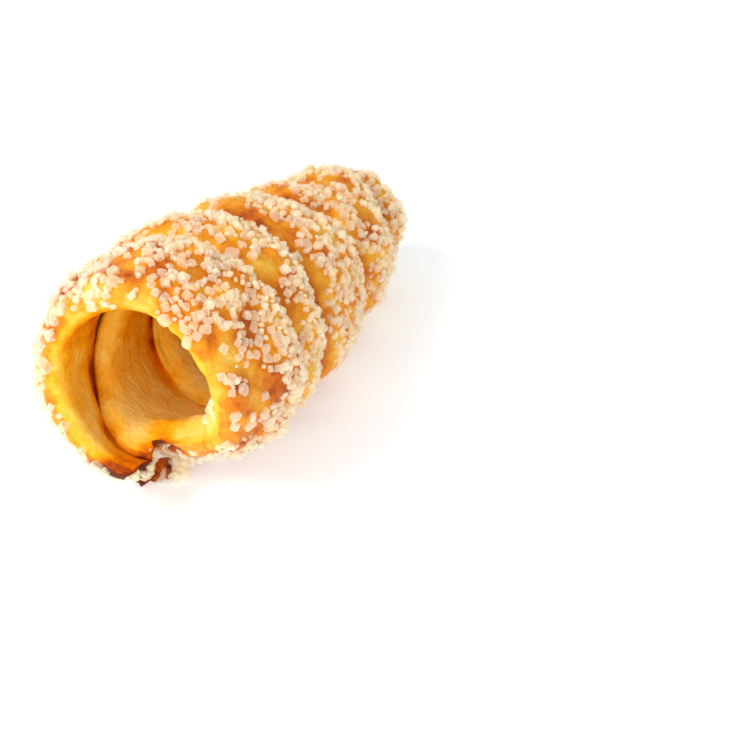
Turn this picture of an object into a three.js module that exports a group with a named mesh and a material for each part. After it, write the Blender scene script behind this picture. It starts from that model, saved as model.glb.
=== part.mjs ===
// A cream horn shell: one strip of puff pastry wound round a cone from the tip to the mouth,
// baked hollow and lying on its side. Millimetres, +Z up, the mouth towards -Y, the tip towards +Y.
// Every lap of the strip lies on top of the lap before it. So outside, each lap ends in a raised
// edge on its tip side, and inside, each lap begins with a rounded lip on its mouth side.
import * as THREE from 'three';

// Sizes along the horn's axis, from the plane of the mouth.
const LENGTH = 100;
const BELLY_AT = 27;
const TIP_ROUNDING = 11;
const HOLLOW_ROUNDING = 6;

// Radii: of the outside over the crests of the laps, and of the cone that the strip was wound on.
const MOUTH_RADIUS = 17.2;
const BELLY_RADIUS = 23.2;
const TIP_RADIUS = 11.4;
const HOLLOW_RADIUS = 15;
const HOLLOW_TAPER = 0.125;

// The strip. Turns are counted from the top of the lap at the mouth, clockwise seen from the mouth.
// The strip ends half a turn before that, at the bottom, and starts at the tip.
const LAPS = 5;
const INNER_LAPS = 4;
const END_TURN = -0.5;
const START_TURN = LAPS - 0.5;
const TIP_EDGE_AT_TOP = 20.5;
const MOUTH_EDGE_AT_TOP = 0.3;
const MOUTH_EDGE_EASE = 2.5;
// Where each edge slid in baking: at which turn, over how many turns, and how far along the axis.
const TIP_EDGE_SLIDES = [[1.32, 0.24, -10], [3, 0.15, 8]];
const MOUTH_EDGE_SLIDES = [[0.41, 0.07, 3.2], [0.57, 0.07, -3], [0.76, 0.1, 2]];

// Relief of the laps: the valley behind each edge outside, and the lift ahead of each lip inside.
const VALLEY_DEPTH = 4.8;
const VALLEY_WIDTH = 6;
const EDGE_ROUND = 0.8;
const STEP_WIDTH = 0.6;
const LIP_DEPTH = 3.4;
const TIP_RELIEF = 0.75;
const LIP_RELIEF = 0.5;
const END_TUCK_TURNS = 0.1;

// The rim's rounding on its two sides, and how far the mouth sits off the horn's axis.
const RIM_ROUND_OUTSIDE = 3;
const RIM_ROUND_INSIDE = 2.5;
const SHIFT_OUTSIDE = { side: 1, up: 1.6, fade: 12 };
const SHIFT_INSIDE = { side: 4, up: 2, fade: 15 };
const TIP_BEND = { side: -1.4, up: 1.2 };

// Dents: at which turn, over how many turns, how deep, where along the axis, and over what length.
// The outer one is beside the strip's end, and the inner ones press the mouth out of round.
const DENTS_OUTSIDE = [[0.43, 0.11, 4, 12, 15]];
const DENTS_INSIDE = [[0.17, 0.09, 1.8, 0, 18], [0.42, 0.08, 1.2, 0, 14]];

// How the horn lies: its axis drops towards the tip, and the crests it rests on are baked flat.
const SLOPE = THREE.MathUtils.degToRad(8.7);
const FLAT_DEPTH = 0.9;

// Mesh density: columns round the horn, and rows across one lap outside and inside.
const COLUMNS = 60;
const ACROSS_OUTSIDE = [0, 0.12, 0.3, 0.5, 0.7, 0.88, 1];
const ACROSS_INSIDE = [0.08, 0.25, 0.5, 0.75, 0.93, 1];
const RIM_CROWDING = 1.7;

// Lengths run along the surface, so the rounded tip and the hollow's round end reach past the axis.
const TIP_START = LENGTH - TIP_ROUNDING;
const TIP_POLE = TIP_START + TIP_ROUNDING * Math.PI / 2;
const PITCH = (TIP_POLE - TIP_EDGE_AT_TOP) / START_TURN;
const HOLLOW_POLE = mouthEdge(START_TURN);
const HOLLOW_START = HOLLOW_POLE - HOLLOW_ROUNDING * Math.PI / 2;
const TIP_END = { start: TIP_START, rounding: TIP_ROUNDING };
const HOLLOW_END = { start: HOLLOW_START, rounding: HOLLOW_ROUNDING };

function bell(x) {
  return Math.exp(-x * x);
}

function slideAt(turn, slides) {
  return slides.reduce((sum, [where, width, slide]) => sum + slide * bell((turn - where) / width), 0);
}

/** Depth of the dents at a place: each is a bell round the horn times a bell along it. */
function dentAt(along, turn, dents) {
  return dents.reduce((sum, [where, width, depth, middle, length]) => (
    sum + depth * bell((turn - where) / width) * bell((along - middle) / length)
  ), 0);
}

/** Where the strip's tip-side edge is after so many turns. It starts at the tip's pole. */
function tipEdge(turn) {
  return TIP_EDGE_AT_TOP + PITCH * turn + slideAt(turn, TIP_EDGE_SLIDES);
}

/** Where its mouth-side edge is: level with the mouth on the last turn, and winding inwards before it. */
function mouthEdge(turn) {
  const along = MOUTH_EDGE_AT_TOP + PITCH * turn;
  return (along + Math.hypot(along, MOUTH_EDGE_EASE)) / 2 + slideAt(turn, MOUTH_EDGE_SLIDES);
}

/** How far the mouth's own lap is tucked under the strip's end: 1 at the end, and 0 well away from it. */
function tuck(lap, turn) {
  return lap > 0 ? 1 : bell((turn - END_TURN - 1) / END_TUCK_TURNS);
}

/** Radius over the crests: a quick swell from the mouth to the belly, then an even taper. */
function crestRadius(along) {
  if (along < BELLY_AT) {
    return BELLY_RADIUS - (BELLY_RADIUS - MOUTH_RADIUS) * (1 - along / BELLY_AT) ** 2;
  }
  return BELLY_RADIUS - (BELLY_RADIUS - TIP_RADIUS) * (along - BELLY_AT) / (TIP_POLE - BELLY_AT);
}

/** Outside radius of a lap: low just behind the edge that covers it, full at its own edge. */
function outerRadius(along, turn, lap) {
  const depth = VALLEY_DEPTH * THREE.MathUtils.lerp(1, TIP_RELIEF, along / TIP_POLE) * tuck(lap, turn);
  const behind = Math.max(0, along - tipEdge(turn - 1));
  const toEdge = tipEdge(turn) - along;
  const valley = depth * bell(behind / VALLEY_WIDTH);
  const rounding = EDGE_ROUND * Math.exp(-toEdge / EDGE_ROUND);
  return crestRadius(along) - valley - rounding - dentAt(along, turn, DENTS_OUTSIDE);
}

/** Inside radius of a lap: the winding cone, lifted off it on the way to the next lip. */
function innerRadius(along, turn) {
  const from = mouthEdge(turn);
  const across = THREE.MathUtils.clamp((along - from) / (mouthEdge(turn + 1) - from), 0, 1);
  const lift = LIP_DEPTH * THREE.MathUtils.lerp(1, LIP_RELIEF, along / HOLLOW_POLE) * across * across;
  return HOLLOW_RADIUS - HOLLOW_TAPER * along + lift - dentAt(along, turn, DENTS_INSIDE);
}

/** The point of the lying horn at a length along the surface, a turn and a radius. */
function place(along, turn, radius, end, shift) {
  const bend = THREE.MathUtils.clamp((along - end.start) / end.rounding, 0, Math.PI / 2);
  const station = Math.min(along, end.start) + end.rounding * Math.sin(bend);
  const reach = radius * Math.cos(bend);
  const angle = Math.PI / 2 - 2 * Math.PI * turn;
  const fade = Math.exp(-station / shift.fade);
  const bent = (station / LENGTH) ** 4;
  const side = reach * Math.cos(angle) + shift.side * fade + TIP_BEND.side * bent;
  const up = reach * Math.sin(angle) + shift.up * fade + TIP_BEND.up * bent;
  return new THREE.Vector3(
    side,
    station * Math.cos(SLOPE) + up * Math.sin(SLOPE),
    up * Math.cos(SLOPE) - station * Math.sin(SLOPE),
  );
}

/** A point of the outside or inside skin. On the mouth's lap both close in on the wall's middle at the rim. */
function skinPoint(along, turn, lap, isOutside) {
  const outside = place(along, turn, outerRadius(along, turn, lap), TIP_END, SHIFT_OUTSIDE);
  if (lap > 0 && isOutside) return outside;
  const inside = place(along, turn, innerRadius(along, turn), HOLLOW_END, SHIFT_INSIDE);
  if (lap > 0) return inside;
  const round = isOutside ? RIM_ROUND_OUTSIDE : RIM_ROUND_INSIDE;
  const past = THREE.MathUtils.clamp((along - rim(turn)) / round, 0, 1);
  const middle = outside.clone().lerp(inside, 0.5);
  return middle.lerp(isOutside ? outside : inside, Math.sqrt(1 - (1 - past) ** 2));
}

/** The rim: the strip's mouth-side edge, which runs in under the strip's end. */
function rim(turn) {
  const under = tipEdge(END_TURN);
  return THREE.MathUtils.lerp(mouthEdge(turn), under, THREE.MathUtils.smoothstep(tuck(0, turn), 0.4, 1));
}

/** One point of the outside, at a part of the way across a lap. The last lap here is the tip's cap. */
function outsidePoint(lap, part, ownTurn) {
  const turn = ownTurn + lap;
  if (lap === 0) {
    const along = THREE.MathUtils.lerp(rim(turn), tipEdge(turn), part ** RIM_CROWDING);
    return skinPoint(along, turn, lap, true);
  }
  const from = tipEdge(turn - 1);
  const to = lap < LAPS ? tipEdge(turn) : TIP_POLE;
  const step = Math.min(STEP_WIDTH, (to - from) / 4);
  return skinPoint(THREE.MathUtils.lerp(from + step, to, part), turn, lap, true);
}

/** One point of the inside, at a part of the way across a lap. The last lap here is the hollow's end. */
function insidePoint(lap, part, ownTurn) {
  const turn = ownTurn + lap;
  const from = lap === 0 ? rim(turn) : mouthEdge(turn);
  const to = lap < INNER_LAPS ? mouthEdge(turn + 1) : HOLLOW_POLE;
  return skinPoint(THREE.MathUtils.lerp(from, to, part), turn, lap, false);
}

/**
 * The shell as one closed skin. Rows follow the strip's edges. After one turn, at the bottom, each
 * row meets the row one lap further in, so the rows wind as the strip does, and what is left over
 * at the mouth is the strip's cut end.
 */
function shellGeometry() {
  const points = [];
  const rowStart = { outside: [], inside: [] };
  const addRow = (side, pointAt) => {
    rowStart[side].push(points.length);
    for (let column = 0; column < COLUMNS; column += 1) points.push(pointAt(END_TURN + column / COLUMNS));
  };
  for (let lap = 0; lap <= LAPS; lap += 1) {
    for (const part of ACROSS_OUTSIDE) {
      if (lap < LAPS || part < 1) addRow('outside', (turn) => outsidePoint(lap, part, turn));
    }
  }
  for (let lap = 0; lap <= INNER_LAPS; lap += 1) {
    for (const part of ACROSS_INSIDE) {
      if (lap < INNER_LAPS || part < 1) addRow('inside', (turn) => insidePoint(lap, part, turn));
    }
  }
  const pole = { outside: points.length, inside: points.length + 1 };
  points.push(place(TIP_POLE, 0, 0, TIP_END, SHIFT_OUTSIDE));
  points.push(place(HOLLOW_POLE, 0, 0, HOLLOW_END, SHIFT_INSIDE));

  const rowsPerLap = { outside: ACROSS_OUTSIDE.length, inside: ACROSS_INSIDE.length };
  const at = (side, row, column) => {
    const wound = column < COLUMNS ? row : row + rowsPerLap[side];
    return wound < rowStart[side].length ? rowStart[side][wound] + (column % COLUMNS) : pole[side];
  };
  const faces = [];
  const addFace = (a, b, c) => {
    if (a !== b && b !== c && c !== a) faces.push(a, b, c);
  };
  for (let column = 0; column < COLUMNS; column += 1) {
    const next = column + 1;
    for (let row = 0; row < rowStart.outside.length; row += 1) {
      addFace(at('outside', row, column), at('outside', row, next), at('outside', row + 1, next));
      addFace(at('outside', row, column), at('outside', row + 1, next), at('outside', row + 1, column));
    }
    for (let row = 0; row < rowStart.inside.length; row += 1) {
      addFace(at('inside', row, column), at('inside', row + 1, next), at('inside', row, next));
      addFace(at('inside', row, column), at('inside', row + 1, column), at('inside', row + 1, next));
    }
    addFace(at('outside', 0, column), at('inside', 0, column), at('inside', 0, next));
    addFace(at('outside', 0, column), at('inside', 0, next), at('outside', 0, next));
  }
  // The strip's cut end: a ladder between the outside and the inside rows of the mouth's lap.
  addFace(at('outside', 0, 0), at('outside', 1, 0), at('inside', 0, 0));
  for (let rung = 1; rung < rowsPerLap.outside; rung += 1) {
    addFace(at('outside', rung, 0), at('outside', rung + 1, 0), at('inside', rung, 0));
    addFace(at('outside', rung, 0), at('inside', rung, 0), at('inside', rung - 1, 0));
  }

  // The horn stands on its crests, which are flattened level, with its box centred on the origin.
  const box = new THREE.Box3().setFromPoints(points);
  const floor = box.min.z + FLAT_DEPTH;
  const middle = box.getCenter(new THREE.Vector3());
  for (const point of points) {
    point.set(point.x - middle.x, point.y - middle.y, Math.max(point.z, floor) - floor);
  }
  const geometry = new THREE.BufferGeometry().setFromPoints(points);
  geometry.setIndex(faces);
  geometry.computeVertexNormals();
  return geometry;
}

const pastry = new THREE.MeshStandardMaterial({ color: '#dc9440', roughness: 0.6, metalness: 0 });
const shell = new THREE.Mesh(shellGeometry(), pastry);
shell.name = 'pastry_shell';

const creamHorn = new THREE.Group();
creamHorn.add(shell);
export default creamHorn;
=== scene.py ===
"""A cream horn shell: puff pastry wound on a cone, baked, and rolled in coarse sugar. Metres, +Z up."""

import bmesh
import bpy
import numpy as np
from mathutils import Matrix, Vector


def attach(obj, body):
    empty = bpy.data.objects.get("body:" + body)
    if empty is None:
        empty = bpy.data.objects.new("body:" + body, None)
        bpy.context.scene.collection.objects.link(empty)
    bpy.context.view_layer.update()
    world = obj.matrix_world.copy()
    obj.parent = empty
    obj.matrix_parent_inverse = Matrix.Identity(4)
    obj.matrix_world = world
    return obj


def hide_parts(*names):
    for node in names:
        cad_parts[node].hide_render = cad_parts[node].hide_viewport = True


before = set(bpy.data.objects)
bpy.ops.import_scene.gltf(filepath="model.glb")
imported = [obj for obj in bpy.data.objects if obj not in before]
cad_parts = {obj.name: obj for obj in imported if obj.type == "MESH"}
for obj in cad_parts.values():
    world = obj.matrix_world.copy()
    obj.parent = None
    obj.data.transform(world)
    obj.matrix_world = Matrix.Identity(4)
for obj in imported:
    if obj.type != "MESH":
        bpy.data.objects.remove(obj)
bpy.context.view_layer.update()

# ---------------------------------------------------------------------------------------------
# The view: from the mouth's end of the horn, off to its right and well above it, so that the
# camera looks down into the mouth. A long lens stands back about three horn lengths.
# ---------------------------------------------------------------------------------------------
MM = 0.001
VIEW_TURN = np.radians(25.6)
VIEW_RISE = np.radians(35.0)
VIEW_DISTANCE = 338.5
VIEW_TARGET = np.array([19.3, 14.1, -2.3])

toward_camera = np.array([
    np.sin(VIEW_TURN) * np.cos(VIEW_RISE),
    -np.cos(VIEW_TURN) * np.cos(VIEW_RISE),
    np.sin(VIEW_RISE),
])
camera_data = bpy.data.cameras.new("view")
camera_data.lens = 80
camera_data.sensor_width = 36
camera_data.clip_start = 0.01
camera = bpy.data.objects.new("view", camera_data)
camera.location = Vector((VIEW_TARGET + toward_camera * VIEW_DISTANCE) * MM)
camera.rotation_euler = Vector(toward_camera).to_track_quat("Z", "Y").to_euler()
bpy.context.scene.collection.objects.link(camera)
bpy.context.scene.camera = camera

# ---------------------------------------------------------------------------------------------
# The pastry shell: one strip of puff pastry, wound from the tip to the mouth with every lap on
# top of the lap before it. The laps swell in the oven, so outside each ends in a raised edge on
# its tip side, and inside each begins with a rounded lip. Lengths here are millimetres.
# ---------------------------------------------------------------------------------------------
HORN_LENGTH = 100.0
BELLY_AT = 27.0
TIP_ROUNDING = 11.0
HOLLOW_ROUNDING = 6.0
MOUTH_RADIUS = 17.2
BELLY_RADIUS = 23.2
TIP_RADIUS = 11.4
HOLLOW_RADIUS = 15.0
HOLLOW_TAPER = 0.125
LAPS = 5
INNER_LAPS = 4
END_TURN = -0.5
START_TURN = LAPS - 0.5
TIP_EDGE_AT_TOP = 20.5
MOUTH_EDGE_AT_TOP = 0.3
MOUTH_EDGE_EASE = 2.5
TIP_EDGE_SLIDES = ((1.32, 0.24, -10.0), (3.0, 0.15, 8.0))
MOUTH_EDGE_SLIDES = ((0.41, 0.07, 3.2), (0.57, 0.07, -3.0), (0.76, 0.10, 2.0))
TIP_EDGE_WAVER = 0.5
MOUTH_EDGE_WAVER = 0.3
WAVER_TURNS = 0.3
VALLEY_DEPTH = 4.8
VALLEY_WIDTH = 6.0
EDGE_ROUND = 1.1
EDGE_NOSE = 0.9
STEP_WIDTH = 0.6
LIP_DEPTH = 3.4
LIP_NOSE = 0.5
LIP_ROUND = 1.5
TIP_RELIEF = 0.75
LIP_RELIEF = 0.5
END_TUCK_TURNS = 0.1
RIM_ROUND_OUTSIDE = 3.0
RIM_ROUND_INSIDE = 2.5
MOUTH_SHIFT_OUTSIDE = (1.0, 1.6, 12.0)
MOUTH_SHIFT_INSIDE = (4.0, 2.0, 15.0)
TIP_BEND = (-1.4, 1.2)
DENT_OUTSIDE = (0.43, 0.11, 4.0, 12.0, 15.0)
DENTS_INSIDE = ((0.17, 0.09, 1.8, 0.0, 18.0), (0.42, 0.08, 1.2, 0.0, 14.0))
FOLD_HEIGHT = 2.2
FOLD_PAST_RIM = 4.5
FOLD_WIDTH = 2.2
SLOPE = np.radians(8.7)
FLAT_DEPTH = 0.9

TIP_START = HORN_LENGTH - TIP_ROUNDING
TIP_POLE = TIP_START + TIP_ROUNDING * np.pi / 2
PITCH = (TIP_POLE - TIP_EDGE_AT_TOP) / START_TURN

# The mesh: columns round the horn, and rows across each lap's skin, edge face and inner lip.
COLUMNS = 300
SKIN_ROWS = 24
FACE_ROWS = 10
INNER_ROWS = 15
LIP_ROWS = 6

# Laminated ridges on the face of each raised edge, and a length that counts as far behind an edge.
RIDGES = 3.0
RIDGE_HEIGHT = 0.16
FAR_BEHIND = 20


def bell(x):
    """1 at 0, falling off as a Gaussian."""
    return np.exp(-x * x)


def near(value, where, width):
    """1 where the value is there, falling off on both sides as a bell of that width."""
    return bell((value - where) / width)


def ease(x, low, high):
    """0 up to low, 1 from high on, and a smooth S between them."""
    share = np.clip((x - low) / (high - low), 0, 1)
    return share * share * (3 - 2 * share)


def blend(a, b, share):
    """The value that share of the way from a to b."""
    return a + (b - a) * share


def waves(points, length, seed, count=18):
    """Smooth noise, about -1 to 1: a sum of sines of about one wavelength in seeded random directions."""
    rng = np.random.default_rng(seed)
    heading = rng.normal(size=(count, points.shape[-1]))
    heading /= np.linalg.norm(heading, axis=1, keepdims=True)
    pace = 2 * np.pi / (length * rng.uniform(0.7, 1.5, count))
    phase = rng.uniform(0, 2 * np.pi, count)
    total = np.zeros(points.shape[:-1])
    for direction, rate, start in zip(heading, pace, phase):
        total += np.sin(points @ direction * rate + start)
    return total * np.sqrt(2.0 / count) * 0.7


def slides(turn, places):
    """How far an edge slid at each turn: the sum of a bell for each place where it slid."""
    return sum(shift * near(turn, where, width) for where, width, shift in places)


def tip_edge(turn):
    """Length along the surface to the strip's tip-side edge: an even winding, where it slid, and a
    small waver."""
    waver = TIP_EDGE_WAVER * waves(turn[..., None], WAVER_TURNS, 3) * ease(START_TURN - turn, 0, 0.5)
    return TIP_EDGE_AT_TOP + PITCH * turn + slides(turn, TIP_EDGE_SLIDES) + waver


def mouth_edge(turn):
    """Length along the surface to the mouth-side edge: level with the mouth at first, then winding
    in evenly, as one arm of a hyperbola does."""
    along = MOUTH_EDGE_AT_TOP + PITCH * turn
    waver = MOUTH_EDGE_WAVER * waves(turn[..., None], WAVER_TURNS, 4)
    return (along + np.hypot(along, MOUTH_EDGE_EASE)) / 2 + slides(turn, MOUTH_EDGE_SLIDES) + waver


def tuck(lap, turn):
    """How far a lap lies under the one over it: on the mouth's lap only near the strip's end, else 1."""
    return near(turn, END_TURN + 1, END_TUCK_TURNS) if lap == 0 else np.ones_like(turn)


def rim(turn):
    """Where the rim is: the mouth-side edge, which runs in under the strip's end."""
    under = tip_edge(np.array(END_TURN))
    return blend(mouth_edge(turn), under, ease(tuck(0, turn), 0.4, 1))


HOLLOW_POLE = float(mouth_edge(np.array(START_TURN)))
HOLLOW_START = HOLLOW_POLE - HOLLOW_ROUNDING * np.pi / 2


def crest_radius(along):
    """Radius over the crests: a parabolic swell from the mouth to the belly, then an even taper."""
    swell = BELLY_RADIUS - (BELLY_RADIUS - MOUTH_RADIUS) * (1 - along / BELLY_AT) ** 2
    taper = BELLY_RADIUS - (BELLY_RADIUS - TIP_RADIUS) * (along - BELLY_AT) / (TIP_POLE - BELLY_AT)
    return np.where(along < BELLY_AT, swell, taper)


def patch(along, turn, where, width, strength, middle, length):
    """A patch of some strength, such as a dent's depth: a bell round the horn times one along it."""
    return strength * near(turn, where, width) * near(along, middle, length)


def outer_radius(along, turn, lap):
    """Outside radius of a lap: the crest radius, less a bell-shaped valley behind the edge that
    covers it, less a rounding that grows exponentially towards its own edge, less the dent beside
    the strip's end."""
    depth = VALLEY_DEPTH * blend(1, TIP_RELIEF, along / TIP_POLE) * tuck(lap, turn)
    behind = np.maximum(0, along - tip_edge(turn - 1))
    to_edge = np.maximum(0, tip_edge(turn) - along)
    rounding = EDGE_ROUND * np.exp(-to_edge / EDGE_ROUND)
    valley = depth * bell(behind / VALLEY_WIDTH)
    return crest_radius(along) - valley - rounding - patch(along, turn, *DENT_OUTSIDE)


def fold_reach(turn):
    """How fully the fold stands at each turn: it rises on the right and ends past the strip's end."""
    return ease(turn, 0.14, 0.30) * (1 - ease(turn, 0.50, 0.58))


def inner_radius(along, turn, lap):
    """Inside radius of a lap: the cone it was wound on, lifted off it as a parabola on the way to
    the next lip, and rounded off exponentially at its own lip. Near the strip's end a bell-shaped
    fold stands up just inside the rim."""
    start = mouth_edge(turn)
    across = np.clip((along - start) / (mouth_edge(turn + 1) - start), 0, 1)
    lift = LIP_DEPTH * blend(1, LIP_RELIEF, along / HOLLOW_POLE) * across ** 2
    lip = LIP_ROUND * np.exp(-np.maximum(0, along - start) / LIP_ROUND) if lap > 0 else 0
    dents = sum(patch(along, turn, *values) for values in DENTS_INSIDE)
    fold = FOLD_HEIGHT * near(along - rim(turn), FOLD_PAST_RIM, FOLD_WIDTH) * fold_reach(turn)
    return HOLLOW_RADIUS - HOLLOW_TAPER * along + lift + lip - dents - fold


def place(along, turn, radius, round_start, rounding, shift):
    """Points of the lying horn: a length along the surface, turned round the sloping axis at a
    radius. Past round_start the surface bends over a quarter ellipse to its pole. The mouth lies off
    the axis by a shift that fades out exponentially, and the tip bends aside as a fourth power."""
    bend = np.clip((along - round_start) / rounding, 0, np.pi / 2)
    station = np.minimum(along, round_start) + rounding * np.sin(bend)
    reach = radius * np.cos(bend)
    angle = np.pi / 2 - 2 * np.pi * turn
    fade = np.exp(-station / shift[2])
    bent = (station / HORN_LENGTH) ** 4
    side = reach * np.cos(angle) + shift[0] * fade + TIP_BEND[0] * bent
    up = reach * np.sin(angle) + shift[1] * fade + TIP_BEND[1] * bent
    return np.stack([
        side,
        station * np.cos(SLOPE) + up * np.sin(SLOPE),
        up * np.cos(SLOPE) - station * np.sin(SLOPE),
    ], -1)


# The two skins' round ends: where each starts, its length, and how far the mouth lies off the axis.
OUTSIDE_END = (TIP_START, TIP_ROUNDING, MOUTH_SHIFT_OUTSIDE)
HOLLOW_END = (HOLLOW_START, HOLLOW_ROUNDING, MOUTH_SHIFT_INSIDE)


def outside_at(along, turn, lap):
    """Points of the outside skin. On the mouth's lap they close in on the wall's middle at the rim."""
    skin = place(along, turn, outer_radius(along, turn, lap), *OUTSIDE_END)
    if lap > 0:
        return skin
    hollow = place(along, turn, inner_radius(along, turn, 0), *HOLLOW_END)
    past = np.clip((along - rim(turn)) / RIM_ROUND_OUTSIDE, 0, 1)
    return blend((skin + hollow) / 2, skin, np.sqrt(1 - (1 - past) ** 2)[..., None])


def inside_at(along, turn, lap):
    """Points of the inside skin. On the mouth's lap they close in on the wall's middle at the rim."""
    hollow = place(along, turn, inner_radius(along, turn, lap), *HOLLOW_END)
    if lap > 0:
        return hollow
    skin = place(along, turn, outer_radius(along, turn, 0), *OUTSIDE_END)
    past = np.clip((along - rim(turn)) / RIM_ROUND_INSIDE, 0, 1)
    return blend((skin + hollow) / 2, hollow, np.sqrt(1 - (1 - past) ** 2)[..., None])


def crowded(count, power):
    """Parts from 0 to 1 that crowd towards 0 as a power."""
    return np.linspace(0, 1, count)[:, None] ** power


def both_ends(count):
    """Parts from 0 to 1 that crowd towards both ends as a half cosine, blended with even spacing."""
    even = np.linspace(0, 1, count)[:, None]
    return blend(even, (1 - np.cos(np.pi * even)) / 2, 0.75)


own_turn = (END_TURN + np.arange(COLUMNS) / COLUMNS)[None, :]
inside_faces = np.linspace(0, 1, LIP_ROWS + 2)[1:-1, None]
edge_faces = np.linspace(0, 1, FACE_ROWS + 2)[1:-1, None]


def table(points, along, turn, behind, to_edge, cut, inside):
    """The rows' points with their values, as one array: x y z along turn behind to_edge cut inside."""
    shape = points.shape[:-1]
    values = [np.broadcast_to(value, shape) for value in (along, turn, behind, to_edge, cut, inside)]
    return np.concatenate([points, np.stack(values, -1)], -1)


def outside_lap(lap):
    """One lap's outside: rows across its skin, then rows down the face of its raised edge, which
    bulges as a half sine with three laminated ridges in it. The last lap is the tip's cap."""
    turn = own_turn + lap
    covered = tip_edge(turn - 1)
    stop = tip_edge(turn) if lap < LAPS else np.full_like(turn, TIP_POLE)
    if lap == 0:
        start = rim(turn)
        parts = crowded(SKIN_ROWS, 1.7)
    else:
        start = covered + np.minimum(STEP_WIDTH, (stop - covered) / 4)
        parts = both_ends(SKIN_ROWS)
    if lap == LAPS:
        parts = parts[:-1]
    along = blend(start, stop, parts)
    cut = 1 - ease(along - start, 0.6, 3.0) if lap == 0 else 0
    skin = table(outside_at(along, turn, lap), along, turn, along - covered, stop - along, cut, 0)
    if lap == LAPS:
        return skin
    after = tip_edge(turn + 1) if lap + 1 < LAPS else np.full_like(turn, TIP_POLE)
    room = np.maximum(0, after - stop) / 4
    foot = stop + np.minimum(STEP_WIDTH, room)
    top = outer_radius(stop, turn, lap)
    bottom = outer_radius(foot, turn + 1, lap + 1)
    drift = 0.4 * waves(turn[..., None], 0.08, 5)
    layers = RIDGE_HEIGHT * np.sin(2 * np.pi * (RIDGES * edge_faces + drift))
    bulge = (EDGE_NOSE + layers) * np.sin(np.pi * edge_faces) * np.clip(room / STEP_WIDTH, 0, 1)
    along = blend(stop, foot, edge_faces) + bulge
    radius = blend(top, bottom, edge_faces)
    points = place(along, turn, radius, *OUTSIDE_END)
    browning = np.sin(np.pi * edge_faces) ** 0.5
    face = table(points, along, turn, FAR_BEHIND * (1 - edge_faces), 0, browning, 0)
    return np.concatenate([skin, face])


def inside_lap(lap):
    """One lap's inside: rows across its skin, then rows up the face of the next lap's lip, which
    bulges towards the mouth as a half sine. The last lap is the hollow's closed end."""
    turn = own_turn + lap
    start = rim(turn) if lap == 0 else mouth_edge(turn)
    stop = mouth_edge(turn + 1) if lap < INNER_LAPS else np.full_like(turn, HOLLOW_POLE)
    parts = both_ends(INNER_ROWS)
    if lap == 0:
        parts = parts * 0.985 + 0.015 * crowded(INNER_ROWS, 0.3)
        parts[0] = 0.01
    elif lap == INNER_LAPS:
        parts = parts[:-1]
    along = blend(start, stop, parts)
    cut = 1 - ease(along - start, 0.3, 1.6) if lap == 0 else 0.8 * (1 - ease(along - start, 0.5, 3.0))
    skin = table(inside_at(along, turn, lap), along, turn, along - start, stop - along, cut, 1)
    if lap == INNER_LAPS:
        return skin
    shrink = np.clip((HOLLOW_POLE - stop) / 6, 0, 1)
    top = inner_radius(stop, turn, lap)
    bottom = inner_radius(stop, turn + 1, lap + 1)
    along = stop - LIP_NOSE * np.sin(np.pi * inside_faces) * shrink
    radius = blend(top, bottom, inside_faces)
    points = place(along, turn, radius, *HOLLOW_END)
    return np.concatenate([skin, table(points, along, turn, 0, 0, 0.5 + 0.5 * inside_faces, 1)])


outside = np.concatenate([outside_lap(lap) for lap in range(LAPS + 1)])
inside = np.concatenate([inside_lap(lap) for lap in range(INNER_LAPS + 1)])
tip_point = place(TIP_POLE, np.array(START_TURN), 0.0, *OUTSIDE_END)
hollow_point = place(HOLLOW_POLE, np.array(START_TURN), 0.0, *HOLLOW_END)
poles = np.concatenate([
    table(tip_point[None], TIP_POLE, START_TURN, FAR_BEHIND, 0, 0, 0),
    table(hollow_point[None], HOLLOW_POLE, START_TURN, FAR_BEHIND, 0, 0, 1),
])
vertices = np.concatenate([outside.reshape(-1, 9), inside.reshape(-1, 9), poles])
tip_index = len(vertices) - 2
hollow_index = len(vertices) - 1


def wound(rows, rows_per_lap, first, pole):
    """Vertex numbers of a wound grid, one column wider than the columns and one row longer: after
    the last column each row goes on as the row one lap on, and past the last row is the pole."""
    numbers = first + np.arange(rows * COLUMNS).reshape(rows, COLUMNS)
    onward = np.full((rows + 1, 1), pole)
    onward[:rows - rows_per_lap, 0] = numbers[rows_per_lap:, 0]
    numbers = np.concatenate([numbers, np.full((1, COLUMNS), pole)])
    return np.concatenate([numbers, onward], 1)


def quads(grid):
    """Two triangles for each cell of a grid of vertex numbers, without those that a pole makes flat."""
    a, b, c, d = grid[:-1, :-1], grid[:-1, 1:], grid[1:, 1:], grid[1:, :-1]
    first, second = np.stack([a, b, c], -1), np.stack([a, c, d], -1)
    faces = np.concatenate([first.reshape(-1, 3), second.reshape(-1, 3)])
    flat = (faces[:, 0] == faces[:, 1]) | (faces[:, 1] == faces[:, 2]) | (faces[:, 2] == faces[:, 0])
    return faces[~flat]


def ladder(left, right):
    """Triangles between two lines of vertices of any length: each step goes on along the line that
    is behind."""
    last_left, last_right = len(left) - 1, len(right) - 1
    steps = np.concatenate([np.arange(1, len(left)) / last_left, np.arange(1, len(right)) / last_right])
    on_left = np.argsort(steps, kind="stable") < last_left
    at_left = np.cumsum(on_left) - on_left
    at_right = np.cumsum(~on_left) - ~on_left
    next_left = left[np.minimum(at_left + 1, last_left)]
    next_right = right[np.minimum(at_right + 1, last_right)]
    third = np.where(on_left, next_left, next_right)
    return np.stack([left[at_left], third, right[at_right]], -1)


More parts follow.
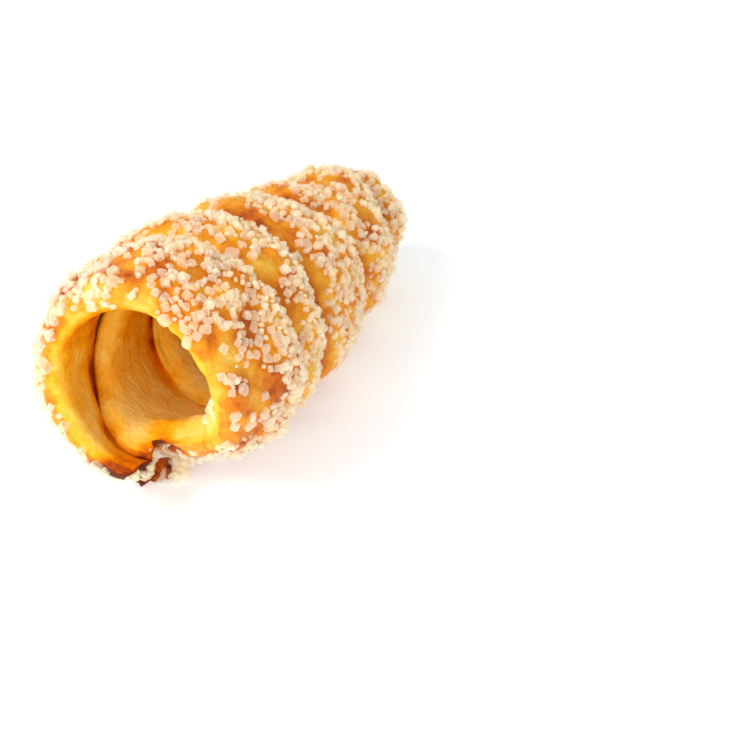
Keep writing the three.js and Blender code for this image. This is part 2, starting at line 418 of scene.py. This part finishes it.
outer_grid = wound(len(outside), SKIN_ROWS + FACE_ROWS, 0, tip_index)
inner_grid = wound(len(inside), INNER_ROWS + LIP_ROWS, outside.shape[0] * COLUMNS, hollow_index)
rim_band = np.stack([inner_grid[0], outer_grid[0]])
cut_end = ladder(outer_grid[:SKIN_ROWS + FACE_ROWS + 1, 0], inner_grid[:INNER_ROWS + LIP_ROWS + 1, 0])
faces = np.concatenate([quads(outer_grid), quads(inner_grid)[:, ::-1], quads(rim_band), cut_end])

low, high = vertices[:, :3].min(0), vertices[:, :3].max(0)
seat = np.array([(low[0] + high[0]) / 2, (low[1] + high[1]) / 2, low[2] + FLAT_DEPTH])
vertices[:, :3] -= seat


def point_normals(points, triangles):
    """Unit normals at the points: the sum of the cross products of the triangles round each."""
    corner = points[triangles]
    facing = np.cross(corner[:, 1] - corner[:, 0], corner[:, 2] - corner[:, 0])
    normal = np.zeros_like(points)
    for side in range(3):
        for axis in range(3):
            normal[:, axis] += np.bincount(triangles[:, side], facing[:, axis], len(points))
    return normal / np.maximum(np.linalg.norm(normal, axis=1, keepdims=True), 1e-12)


def relief(points, kind, seed):
    """Smooth noise of a kind, which is its height and its wavelength."""
    return kind[0] * waves(points, kind[1], seed)


along, turn, behind, to_edge, cut, inward = vertices[:, 3:].T
base = vertices[:, :3].copy()
base_normals = point_normals(base, faces)

# The dough rises unevenly: broad swells, blisters of a few millimetres, small flakes, and inside,
# where it lay against the mould, only shallow streaks along the strip. Each is (height, wavelength).
SWELLS = (0.55, 20)
BLISTERS = (0.38, 7)
SMALL_FLAKES = (0.14, 2.8)
MOULD_SWELLS = (0.18, 16)
MOULD_STREAKS = (0.16, 3.5)
LAMINATIONS = (0.14, 1.2)
streaks = np.stack([turn * 18, along], -1)
sheets = np.stack([turn * 30, along * 1.6, base[:, 0] * 0.3], -1)
rise = relief(base, SWELLS, 11) + relief(base, BLISTERS, 12) + relief(base, SMALL_FLAKES, 13)
press = relief(base, MOULD_SWELLS, 14) + relief(streaks, MOULD_STREAKS, 15)
push = np.where(inward > 0.5, press, rise * (1 - 0.6 * cut)) + relief(sheets, LAMINATIONS, 16) * cut
near_pole = ease(TIP_POLE - along, 0, 3) * np.where(inward > 0.5, ease(HOLLOW_POLE - along, 0, 3), 1)
points = base + base_normals * (push * near_pole)[:, None]
points[:, 2] = np.maximum(points[:, 2], 0)

# How far it is baked, from 0, pale, to 1, dark brown, with painted shade added in places below. A little
# varies all over.
BROAD_MOTTLE = (0.13, 9)
FINE_MOTTLE = (0.08, 3.2)
mottle = relief(base, BROAD_MOTTLE, 21) + relief(base, FINE_MOTTLE, 22)

# Outside, the valleys are darker than the crests: browner pastry, with painted shade in the creases.
# Some places are darker or paler still, each given as (turn, width in turns): the right side and the
# upper left are darkened as painted shade, and the third lap's flank is browner. The underside browns
# on the tray.
OPEN_BAKE = 0.47
VALLEY_BAKE_AND_SHADE = 0.20
CREST_PALENESS = 0.08
SHADED_RIGHT, SHADED_RIGHT_DARKENING = (0.33, 0.16), 0.26
SHADED_UPPER_LEFT, SHADED_UPPER_LEFT_DARKENING = (-0.16, 0.24), 0.26
BROWN_FLANK, BROWN_FLANK_BAKE = (2.1, 0.5), 0.16
PALE_STRIPE, PALE_STRIPE_PALENESS = (0.92, 0.13), 0.42
CUT_BAKE = 0.46
TRAY_BAKE = 0.22
# The valley behind each edge is darker: browner pastry, with painted shade in the crease.
open_skin = OPEN_BAKE + VALLEY_BAKE_AND_SHADE * (1 - ease(behind, 2, 8)) * (turn > 0.5)
open_skin -= CREST_PALENESS * ease(6 - to_edge, 0, 5)
# Painted shade: the right side is darker, being turned away from the light.
open_skin += SHADED_RIGHT_DARKENING * near(turn, *SHADED_RIGHT) * ease(along, 10, 15)
bake = open_skin + mottle
stripe = near(turn, *PALE_STRIPE) * ease(behind, 0.2, 1.2) * (1 - ease(behind, 4.0, 6.5))
bake -= PALE_STRIPE_PALENESS * stripe
# Painted shade: the upper left is darker, holding back the key light that falls hardest there.
bake += SHADED_UPPER_LEFT_DARKENING * near(turn, *SHADED_UPPER_LEFT) * ease(along, 1.5, 5)
bake += BROWN_FLANK_BAKE * near(turn, *BROWN_FLANK) * (1 - ease(behind, 8, 11))
bake = blend(bake, CUT_BAKE + 0.8 * mottle, cut)

# Inside it stays pale below and on the right. The ceiling, the left side and the part deeper in are
# darkened as painted shade. The fold and the rim are browner, and the crevice ahead of each lip is
# browner with painted shade in it.
HOLLOW_BAKE = -0.04
DEEP_PAINTED_SHADE = 0.02
CEILING_PAINTED_SHADE = 0.46
LEFT_PAINTED_SHADE = 0.34
STREAKS_BAKE = (0.03, 5)
FOLD_BAKE = 0.16
RIM_BAKE = 0.30
CREVICE_BAKE_AND_SHADE = 0.22
deep = ease(along, 8, 60)
up_there = ease(-base_normals[:, 2], -0.3, 0.9)
left_there = ease(-base[:, 0], 2, 14)
# Painted shade: darker on the ceiling, on the left side and deeper in, where the hollow lies in shade.
soft = HOLLOW_BAKE + DEEP_PAINTED_SHADE * deep + CEILING_PAINTED_SHADE * up_there + LEFT_PAINTED_SHADE * left_there
soft += 0.6 * mottle + relief(streaks, STREAKS_BAKE, 23)
soft += FOLD_BAKE * near(along - rim(turn), FOLD_PAST_RIM, 4) * fold_reach(turn)
soft = blend(soft, RIM_BAKE + 0.4 * mottle, cut)
# The crevice ahead of each lip is darker: browner pastry, with painted shade in the recess, more on the
# left.
crevice = (1 - ease(to_edge, 0, 5.0)) * (1 - cut)
soft += crevice * (CREVICE_BAKE_AND_SHADE + LEFT_PAINTED_SHADE * left_there)
bake = np.where(inward > 0.5, soft, bake)
tray = ease(-point_normals(points, faces)[:, 2], 0.55, 0.95) * (1 - inward)
bake += TRAY_BAKE * tray

# The strip's end is burnt: its cut, the corner of the rim beside it, and the lap just under it.
END_BURN = 0.72
BURNT_PATCHES = ((END_TURN, 0.045, 1, 4, 8), (-0.48, 0.05, 1, 1, 6), (0.49, 0.04, 1, 8, 8))
burnt = sum(patch(along, turn, *values) for values in BURNT_PATCHES)
bake += END_BURN * np.minimum(burnt, 1.0) * (1 - 0.1 * inward)


def set_values(mesh, strip, **columns):
    """Gives a mesh its point values: its place along the strip as vectors, and each column by name."""
    for name, values in columns.items():
        attribute = mesh.attributes.new(name, "FLOAT", "POINT")
        attribute.data.foreach_set("value", values.astype(np.float32))
    attribute = mesh.attributes.new("strip", "FLOAT_VECTOR", "POINT")
    attribute.data.foreach_set("vector", strip.astype(np.float32).ravel())


def add_object(name, mesh, material):
    """A new object of the mesh in the scene, with one material."""
    added = bpy.data.objects.new(name, mesh)
    bpy.context.scene.collection.objects.link(added)
    mesh.materials.append(material)
    return added


METRES_A_TURN = 0.11
shell_mesh = bpy.data.meshes.new("pastry_crust")
shell_mesh.from_pydata((points * MM).tolist(), [], faces.tolist())
shell_mesh.polygons.foreach_set("use_smooth", np.ones(len(faces), bool))
along_shell = np.stack([turn * METRES_A_TURN, along * MM, inward], -1)
set_values(shell_mesh, along_shell, bake=bake, inward=inward)
shell_mesh.update()

crust = bpy.data.materials.new("baked_pastry")
crust.use_nodes = True
nodes, links = crust.node_tree.nodes, crust.node_tree.links
nodes.clear()


def node(kind, **values):
    """A node of that kind in the current material, with its inputs (by name) or settings set."""
    made = nodes.new(kind)
    for key, value in values.items():
        if key in made.inputs:
            made.inputs[key].default_value = value
        else:
            setattr(made, key, value)
    return made


def maths(operation, first, second):
    """A Math node on two sockets or numbers; gives its output."""
    made = nodes.new("ShaderNodeMath")
    made.operation = operation
    for socket, value in zip(made.inputs, (first, second)):
        if isinstance(value, (int, float)):
            socket.default_value = value
        else:
            links.new(value, socket)
    return made.outputs[0]


def varied(factor, strength):
    """A noise factor, moved to lie round 0 and scaled by a strength, which is a number or a socket."""
    return maths("MULTIPLY", maths("SUBTRACT", factor, 0.5), strength)


def srgb(red, green, blue):
    """A colour given as 0 to 255 as seen on a screen, in the linear values that shaders take."""
    share = np.array([red, green, blue]) / 255
    return tuple(np.where(share < 0.04045, share / 12.92, ((share + 0.055) / 1.055) ** 2.4)) + (1.0,)


def ramp(factor, stops):
    """A colour ramp over (place, colour) stops."""
    made = nodes.new("ShaderNodeValToRGB")
    elements = made.color_ramp.elements
    while len(elements) < len(stops):
        elements.new(0.5)
    for element, (where, colour) in zip(elements, stops):
        element.position = where
        element.color = colour
    links.new(factor, made.inputs["Fac"])
    return made.outputs["Color"]


coords = node("ShaderNodeTexCoord").outputs["Object"]
# The tone on the mesh: how far it is baked, with the painted shade added in.
baked = node("ShaderNodeAttribute", attribute_name="bake").outputs["Fac"]
is_inside = node("ShaderNodeAttribute", attribute_name="inward").outputs["Fac"]
along_strip = node("ShaderNodeAttribute", attribute_name="strip").outputs["Vector"]

specks = node("ShaderNodeTexNoise", Scale=900.0, Detail=3.0, Roughness=0.6)
links.new(coords, specks.inputs["Vector"])
patches = node("ShaderNodeTexNoise", Scale=260.0, Detail=4.0, Roughness=0.65)
links.new(coords, patches.inputs["Vector"])
stretched = node("ShaderNodeMapping", Scale=(90.0, 700.0, 1.0))
links.new(along_strip, stretched.inputs["Vector"])
grain = node("ShaderNodeTexNoise", Scale=1.0, Detail=4.0, Roughness=0.6)
links.new(stretched.outputs["Vector"], grain.inputs["Vector"])

# Patches and specks vary the bake everywhere. The grain along the strip shows less inside.
tone = maths("ADD", baked, varied(patches.outputs["Fac"], 0.55))
tone = maths("ADD", tone, varied(specks.outputs["Fac"], 0.25))
streaking = maths("SUBTRACT", 0.22, maths("MULTIPLY", is_inside, 0.15))
tone = maths("ADD", tone, varied(grain.outputs["Fac"], streaking))
outside_colour = ramp(tone, (
    (0.02, srgb(254, 220, 132)),
    (0.22, srgb(252, 198, 80)),
    (0.42, srgb(247, 168, 38)),
    (0.60, srgb(232, 136, 16)),
    (0.80, srgb(194, 88, 6)),
    (1.00, srgb(104, 40, 6)),
))
inside_colour = ramp(tone, (
    (0.00, srgb(255, 224, 128)),
    (0.20, srgb(254, 203, 80)),
    (0.42, srgb(249, 172, 16)),
    (0.64, srgb(228, 126, 2)),
    (0.84, srgb(176, 72, 0)),
    (1.00, srgb(110, 40, 2)),
))
sides = node("ShaderNodeMix", data_type="RGBA")
links.new(is_inside, sides.inputs["Factor"])
links.new(outside_colour, sides.inputs["A"])
links.new(inside_colour, sides.inputs["B"])
bumps = node("ShaderNodeTexNoise", Scale=520.0, Detail=5.0, Roughness=0.6)
links.new(coords, bumps.inputs["Vector"])
combing = maths("SUBTRACT", 0.6, maths("MULTIPLY", is_inside, 0.5))
height = maths("ADD", bumps.outputs["Fac"], maths("MULTIPLY", grain.outputs["Fac"], combing))
bump = node("ShaderNodeBump", Strength=0.9, Distance=0.0006)
links.new(height, bump.inputs["Height"])
gloss = maths("ADD", 0.42, maths("MULTIPLY", specks.outputs["Fac"], 0.3))

surface = node("ShaderNodeBsdfPrincipled")
surface.inputs["Subsurface Weight"].default_value = 0.10
surface.inputs["Subsurface Radius"].default_value = (1.0, 0.45, 0.15)
surface.inputs["Subsurface Scale"].default_value = 0.0018
links.new(sides.outputs["Result"], surface.inputs["Base Color"])
links.new(maths("SUBTRACT", 0.22, maths("MULTIPLY", is_inside, 0.14)), surface.inputs["Specular IOR Level"])
links.new(gloss, surface.inputs["Roughness"])
links.new(bump.outputs["Normal"], surface.inputs["Normal"])
links.new(surface.outputs["BSDF"], node("ShaderNodeOutputMaterial").inputs["Surface"])

shell = add_object("pastry_crust", shell_mesh, crust)
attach(shell, "root")
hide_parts("pastry_shell")

# ---------------------------------------------------------------------------------------------
# The coarse sugar: milky crystals, mostly of 1 to 2.2 mm, broken blocks with worn corners. The horn
# was rolled in them before baking, so they stick to whatever stood proud, half sunk in the glaze.
# ---------------------------------------------------------------------------------------------


def crystal_shape(rng, corner, wear):
    """One worn block with half sides of 1: the convex hull of its eight corners, each cut off by
    three points a corner's cut away along the edges, all moved a little at random."""
    signs = np.array([[x, y, z] for x in (-1, 1) for y in (-1, 1) for z in (-1, 1)], float)
    cuts = signs[:, None, :] * (1 - corner * np.eye(3)[None, :, :] * rng.uniform(0.6, 1.4, (8, 3, 1)))
    hull_points = cuts.reshape(-1, 3) + rng.normal(0, wear, (24, 3))
    hull = bmesh.new()
    for point in hull_points:
        hull.verts.new(point)
    bmesh.ops.convex_hull(hull, input=hull.verts)
    bmesh.ops.triangulate(hull, faces=hull.faces)
    loose = [vertex for vertex in hull.verts if not vertex.link_faces]
    bmesh.ops.delete(hull, geom=loose, context="VERTS")
    bmesh.ops.recalc_face_normals(hull, faces=hull.faces)
    hull.verts.index_update()
    shape = np.array([vertex.co[:] for vertex in hull.verts])
    sides = np.array([[vertex.index for vertex in face.verts] for face in hull.faces])
    hull.free()
    return shape, sides


def turned(rng, facing, tilt):
    """A turning matrix for each crystal: its third side along its facing, leaning at random by
    about the tilt, and spun at random about it."""
    lean = facing + tilt * rng.normal(size=facing.shape)
    third = lean / np.linalg.norm(lean, axis=1, keepdims=True)
    first = np.cross(third, rng.normal(size=facing.shape))
    first /= np.linalg.norm(first, axis=1, keepdims=True)
    return np.stack([first, np.cross(third, first), third], -1)


def crystals_mesh(name, shapes, kind, places, turns, halves):
    """One mesh of many crystals: for each shape, its points scaled by each crystal's half sides,
    turned, and moved to its place."""
    all_points, all_faces, first = [], [], 0
    for number, (shape, sides) in enumerate(shapes):
        mine = kind == number
        scaled = shape[None] * halves[mine][:, None]
        moved = np.einsum("nij,nkj->nki", turns[mine], scaled) + places[mine][:, None]
        offsets = first + np.arange(mine.sum())[:, None, None] * len(shape)
        all_points.append(moved.reshape(-1, 3))
        all_faces.append((sides[None] + offsets).reshape(-1, 3))
        first += mine.sum() * len(shape)
    mesh = bpy.data.meshes.new(name)
    mesh.from_pydata((np.concatenate(all_points) * MM).tolist(), [], np.concatenate(all_faces).tolist())
    mesh.update()
    return mesh


def spaced(places, reach):
    """Which candidates to keep, in order: each that lies further from every kept one than their
    two reaches together."""
    kept = []
    kept_places = np.zeros((len(places), 3))
    kept_reach = np.zeros(len(places))
    for number, (point, radius) in enumerate(zip(places, reach)):
        count = len(kept)
        gap = np.linalg.norm(kept_places[:count] - point, axis=1) - kept_reach[:count] - radius
        if count == 0 or gap.min() > 0:
            kept_places[count], kept_reach[count] = point, radius
            kept.append(number)
    return np.array(kept)


def on_shell(rng, density, tries):
    """Random points on the shell, with the way the skin faces there and the triangle's number:
    triangles drawn by area times density, and a random spot in each."""
    corner = points[faces]
    facing = np.cross(corner[:, 1] - corner[:, 0], corner[:, 2] - corner[:, 0])
    area = np.linalg.norm(facing, axis=1)
    weight = area * density[faces].mean(1)
    chosen = rng.choice(len(faces), tries, p=weight / weight.sum())
    u, v = rng.random((2, tries, 1))
    u, v = np.where(u + v > 1, 1 - u, u), np.where(u + v > 1, 1 - v, v)
    spot = corner[chosen]
    where = spot[:, 0] + u * (spot[:, 1] - spot[:, 0]) + v * (spot[:, 2] - spot[:, 0])
    return where, smooth_normals[faces[chosen]].mean(1), chosen


smooth_normals = point_normals(points, faces)
underside = -smooth_normals[:, 2]
outside_skin = 1 - inward

# How thickly the sugar lies, from 0, bare, to 1, covered. It leaves the valleys and a band along
# the rim bare, comes in clumps, and crowds on the raised edges.
CLUMP_LENGTH = 8
CLUMP_COVER = 0.42
CLUMP_CONTRAST = 0.50
CREST_COVER = 0.60
EDGE_COVER = 0.45
VALLEY_BARENESS = 0.97
valley = np.where(turn > 0.5, 1 - ease(behind, 4.0, 9.5), 0)
clumps = waves(base, CLUMP_LENGTH, 31)
bare_rim = -0.5 + 1.8 * near(turn, 0.39, 0.09) + 1.0 * near(turn, 0.22, 0.07)
cover = outside_skin * (1 - VALLEY_BARENESS * valley) * ease(along - rim(turn) - bare_rim, 0, 1.0)
cover *= np.clip(CLUMP_COVER + CLUMP_CONTRAST * clumps + CREST_COVER * ease(7 - to_edge, 0, 5), 0.04, 1)
cover += EDGE_COVER * outside_skin * ease(4 - to_edge, 0, 3) * (cut < 0.5)

# Some places have less sugar: two patches on the right of the mouth's lap, the flank of the third
# lap and the underside. The lower left of the mouth and the tip have more.
BARE_PATCHES = ((0.25, 0.08, 0.95, 11, 7), (0.40, 0.10, 0.6, 12, 14))
BARE_FLANK, FLANK_BARENESS = (2.1, 0.45), 0.92
UNDERSIDE_BARENESS = 0.95
SUGARED_LEFT, LEFT_COVER = (-0.35, 0.13), 0.75
TIP_COVER = 0.60
for values in BARE_PATCHES:
    cover *= 1 - patch(along, turn, *values)
cover *= 1 - FLANK_BARENESS * near(turn, *BARE_FLANK) * (1 - ease(behind, 7, 10))
cover += LEFT_COVER * outside_skin * near(turn, *SUGARED_LEFT) * ease(along, 0.5, 2)
cover += TIP_COVER * outside_skin * ease(turn, 3.4, 4.0)
cover *= 1 - UNDERSIDE_BARENESS * ease(underside, 0.8, 0.97)
cover = np.clip(cover, 0, 1)

# Crystals are drawn at random, and those too close to one drawn before are left out. The half
# sides are the size times a random stretch and the block's own proportions.
COARSE_TRIES = 9200
COARSE_SHAPES = 16
COARSE_HALF = 0.76
COARSE_HALF_RANGE = (0.45, 1.25)
COARSE_CLOSEST = 0.86
COARSE_SIDES = (1.0, 0.9, 0.62)
CORNER_REACH = 1.35
coarse_rng = np.random.default_rng(41)
coarse_shapes = [crystal_shape(coarse_rng, corner=0.55, wear=0.10) for _ in range(COARSE_SHAPES)]
where, facing, chosen = on_shell(coarse_rng, cover, COARSE_TRIES)
size = np.clip(coarse_rng.lognormal(np.log(COARSE_HALF), 0.24, len(where)), *COARSE_HALF_RANGE)
size *= blend(1.0, 0.95, ease(along[faces[chosen]].mean(1), 20, 100))
kept = spaced(where, size * COARSE_CLOSEST)
where, facing, size = where[kept], facing[kept], size[kept]
halves = size[:, None] * coarse_rng.uniform(0.72, 1.12, (len(size), 3)) * COARSE_SIDES
sunk = coarse_rng.uniform(0.1, 0.6, (len(size), 1))
places = where + facing * halves[:, 2:] * sunk
turns = turned(coarse_rng, facing, tilt=0.32)
kind = coarse_rng.integers(0, COARSE_SHAPES, len(size))
clear = places[:, 2] > halves.max(1) * CORNER_REACH
places, turns, halves, kind = places[clear], turns[clear], halves[clear], kind[clear]

# A clump of crystals has caked in the notch beside the strip's end, in a heap that leans back as it
# rises, and a few crystals have fallen on the fold inside the rim.
CLUMP_COUNT = 22
CLUMP_ACROSS = (0.0, 4.2)
CLUMP_SIDES = (1.0, 0.9, 0.75)
CLUMP_LOWEST = 0.9
CLUMP_FRONT = -37.2
CLUMP_SLANT = 0.45
HEAP_LEAN = 0.75
FOLD_CRYSTAL = (0.85, 0.75, 0.5)
FOLD_TURNS = (0.255, 0.275, 0.290, 0.305, 0.345)
FOLD_DEPTHS = (2.2, 3.6, 2.4, 3.8, 3.2)
across = coarse_rng.uniform(*CLUMP_ACROSS, CLUMP_COUNT)
clump_halves = coarse_rng.uniform(0.75, 1.15, (CLUMP_COUNT, 3)) * CLUMP_SIDES
tallness = 3.4 - 0.35 * np.abs(across - 2.4)
high = CLUMP_LOWEST + coarse_rng.uniform(0, 1, CLUMP_COUNT) ** 1.3 * tallness
deep = CLUMP_FRONT + CLUMP_SLANT * across + HEAP_LEAN * high + coarse_rng.uniform(-0.7, 1.4, CLUMP_COUNT)
clump_places = np.stack([across, deep, high], -1)
fold_turns = np.array(FOLD_TURNS)
on_fold = inside_at(rim(fold_turns) + np.array(FOLD_DEPTHS), fold_turns, 0) - seat
loose_places = np.concatenate([clump_places, on_fold])
loose_halves = np.concatenate([clump_halves, np.full((len(on_fold), 3), FOLD_CRYSTAL)])
loose_places[:, 2] = np.maximum(loose_places[:, 2], loose_halves.max(1) * CORNER_REACH)
loose_turns = turned(coarse_rng, coarse_rng.normal(size=loose_places.shape), tilt=0.3)
loose_kind = coarse_rng.integers(0, COARSE_SHAPES, len(loose_places))
coarse_mesh = crystals_mesh(
    "sugar_coarse", coarse_shapes,
    np.concatenate([kind, loose_kind]), np.concatenate([places, loose_places]),
    np.concatenate([turns, loose_turns]), np.concatenate([halves, loose_halves]))

sugar = bpy.data.materials.new("coarse_sugar")
sugar.use_nodes = True
nodes, links = sugar.node_tree.nodes, sugar.node_tree.links
nodes.clear()
coords = node("ShaderNodeTexCoord").outputs["Object"]
cloud = node("ShaderNodeTexNoise", Scale=420.0, Detail=2.0)
links.new(coords, cloud.inputs["Vector"])
colour = ramp(cloud.outputs["Fac"], (
    (0.35, srgb(255, 236, 196)),
    (0.65, srgb(255, 250, 226)),
))
chips = node("ShaderNodeTexNoise", Scale=2600.0, Detail=2.0)
links.new(coords, chips.inputs["Vector"])
bump = node("ShaderNodeBump", Strength=0.35, Distance=0.0002)
links.new(chips.outputs["Fac"], bump.inputs["Height"])
surface = node("ShaderNodeBsdfPrincipled", Roughness=0.32, IOR=1.4)
surface.inputs["Alpha"].default_value = 0.42
surface.inputs["Specular IOR Level"].default_value = 0.5
# The crystals glow faintly warm: painted light, standing in for light scattered inside them, which lifts
# their shaded sides.
surface.inputs["Emission Color"].default_value = srgb(255, 228, 180)
surface.inputs["Emission Strength"].default_value = 0.07
links.new(colour, surface.inputs["Base Color"])
links.new(bump.outputs["Normal"], surface.inputs["Normal"])
links.new(surface.outputs["BSDF"], node("ShaderNodeOutputMaterial").inputs["Surface"])

coarse = add_object("sugar_coarse", coarse_mesh, sugar)
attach(coarse, "root")

# ---------------------------------------------------------------------------------------------
# The torn flakes: where the strip ends, at the bottom of the mouth, its cut end has torn into a few
# thin flakes a few millimetres wide, baked dark brown. They lie over each other across the notch.
# ---------------------------------------------------------------------------------------------
FLAKE_COUNT = 18
FLAKE_SHAPES = 6
FLAKE_HALVES = (1.25, 0.9, 0.3)
FLAKE_FACING = (0.3, -0.6, 0.7)
FLAKE_ACROSS = (-3.2, 0.8)
FLAKE_HIGH = (0.7, 3.6)
FLAKE_FRONT = -37.4
FLAKE_SLANT = 0.9
FLAKE_BAKE = 0.82
FLAKE_MOTTLE = (0.22, 3)
FLAKE_LOWEST = 0.05
flake_rng = np.random.default_rng(43)
flake_shapes = [crystal_shape(flake_rng, corner=0.8, wear=0.16) for _ in range(FLAKE_SHAPES)]
across = flake_rng.uniform(*FLAKE_ACROSS, FLAKE_COUNT)
high = flake_rng.uniform(*FLAKE_HIGH, FLAKE_COUNT)
deep = FLAKE_FRONT + FLAKE_SLANT * across + HEAP_LEAN * high + flake_rng.uniform(-0.3, 0.6, FLAKE_COUNT)
flake_places = np.stack([across, deep, high], -1)
flake_halves = flake_rng.uniform(0.7, 1.3, (FLAKE_COUNT, 3)) * FLAKE_HALVES
flake_turns = turned(flake_rng, np.tile(FLAKE_FACING, (FLAKE_COUNT, 1)), tilt=0.4)
flake_kind = flake_rng.integers(0, FLAKE_SHAPES, FLAKE_COUNT)
flake_mesh = crystals_mesh("torn_flakes", flake_shapes, flake_kind, flake_places, flake_turns, flake_halves)
flake_points = np.array([vertex.co[:] for vertex in flake_mesh.vertices]) / MM
flake_points[:, 2] = np.maximum(flake_points[:, 2], FLAKE_LOWEST)
flake_mesh.vertices.foreach_set("co", (flake_points * MM).ravel())
flake_bake = FLAKE_BAKE + relief(flake_points, FLAKE_MOTTLE, 44)
set_values(flake_mesh, flake_points * MM, bake=flake_bake, inward=np.zeros(len(flake_bake)))
flakes = add_object("torn_flakes", flake_mesh, crust)
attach(flakes, "root")

# ---------------------------------------------------------------------------------------------
# The fine sugar: chips and small crystals of 0.5 to 1.3 mm that fill in between the large ones and
# crowd along the raised edges, where the horn was pressed hardest into the sugar.
# ---------------------------------------------------------------------------------------------
FINE_TRIES = 2600
FINE_SHAPES = 12
FINE_HALF = 0.42
FINE_HALF_RANGE = (0.22, 0.7)
FINE_CLOSEST = 0.75
FINE_CORNER_REACH = 1.5
fine_rng = np.random.default_rng(42)
fine_shapes = [crystal_shape(fine_rng, corner=0.9, wear=0.05) for _ in range(FINE_SHAPES)]
ridge = outside_skin * ease(9 - to_edge, 0, 6) * (cut < 0.5)
fine_cover = 0.6 * cover + 0.8 * ridge * (1 - ease(underside, 0.35, 0.8)) + 0.03 * outside_skin
where, facing, _ = on_shell(fine_rng, np.clip(fine_cover, 0, 1), FINE_TRIES)
size = np.clip(fine_rng.lognormal(np.log(FINE_HALF), 0.28, len(where)), *FINE_HALF_RANGE)
kept = spaced(where, size * FINE_CLOSEST)
where, facing, size = where[kept], facing[kept], size[kept]
halves = size[:, None] * fine_rng.uniform(0.7, 1.2, (len(size), 3))
places = where + facing * (halves[:, 2:] * 0.5 + fine_rng.uniform(0, 0.5, (len(size), 1)))
turns = turned(fine_rng, facing, tilt=0.6)
kind = fine_rng.integers(0, FINE_SHAPES, len(size))
clear = places[:, 2] > halves.max(1) * FINE_CORNER_REACH
fine_mesh = crystals_mesh("sugar_fine", fine_shapes, kind[clear], places[clear], turns[clear], halves[clear])
fine = add_object("sugar_fine", fine_mesh, sugar)
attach(fine, "root")

# ---------------------------------------------------------------------------------------------
# The studio: a pale floor that glows a little, and an even white surround. One large soft light
# stands high in front and to the left, and a weaker one low in front, which lights the hollow.
# ---------------------------------------------------------------------------------------------
FLOOR_HALF = 3.0
floor_mesh = bpy.data.meshes.new("studio_floor")
floor_corners = [(x * FLOOR_HALF, y * FLOOR_HALF, 0) for x, y in ((-1, -1), (1, -1), (1, 1), (-1, 1))]
floor_mesh.from_pydata(floor_corners, [], [(0, 1, 2, 3)])
white = bpy.data.materials.new("studio_white")
white.use_nodes = True
white_sockets = white.node_tree.nodes["Principled BSDF"].inputs
white_sockets["Base Color"].default_value = (0.84, 0.90, 0.93, 1)
white_sockets["Roughness"].default_value = 0.9
white_sockets["Emission Color"].default_value = (1, 1, 1, 1)
white_sockets["Emission Strength"].default_value = 0.36
floor = add_object("studio_floor", floor_mesh, white)

surround = bpy.data.worlds.new("surround")
bpy.context.scene.world = surround
surround.use_nodes = True
surround.node_tree.nodes["Background"].inputs["Color"].default_value = (1, 1, 1, 1)
surround.node_tree.nodes["Background"].inputs["Strength"].default_value = 0.62


def soft_light(name, stand, aim, width, power):
    """A square area light that stands at one point and faces another; metres, and power in watts."""
    data = bpy.data.lights.new(name, "AREA")
    data.size = width
    data.energy = power
    light = bpy.data.objects.new(name, data)
    light.location = stand
    light.rotation_euler = (Vector(stand) - Vector(aim)).to_track_quat("Z", "Y").to_euler()
    bpy.context.scene.collection.objects.link(light)


soft_light("key", stand=(-0.42, -0.60, 0.78), aim=(0, 0, 0.02), width=0.45, power=6.4)
soft_light("fill", stand=(0.12, -0.90, 0.34), aim=(0, -0.02, 0.02), width=0.40, power=3.2)
bpy.context.scene.view_settings.view_transform = "Standard"
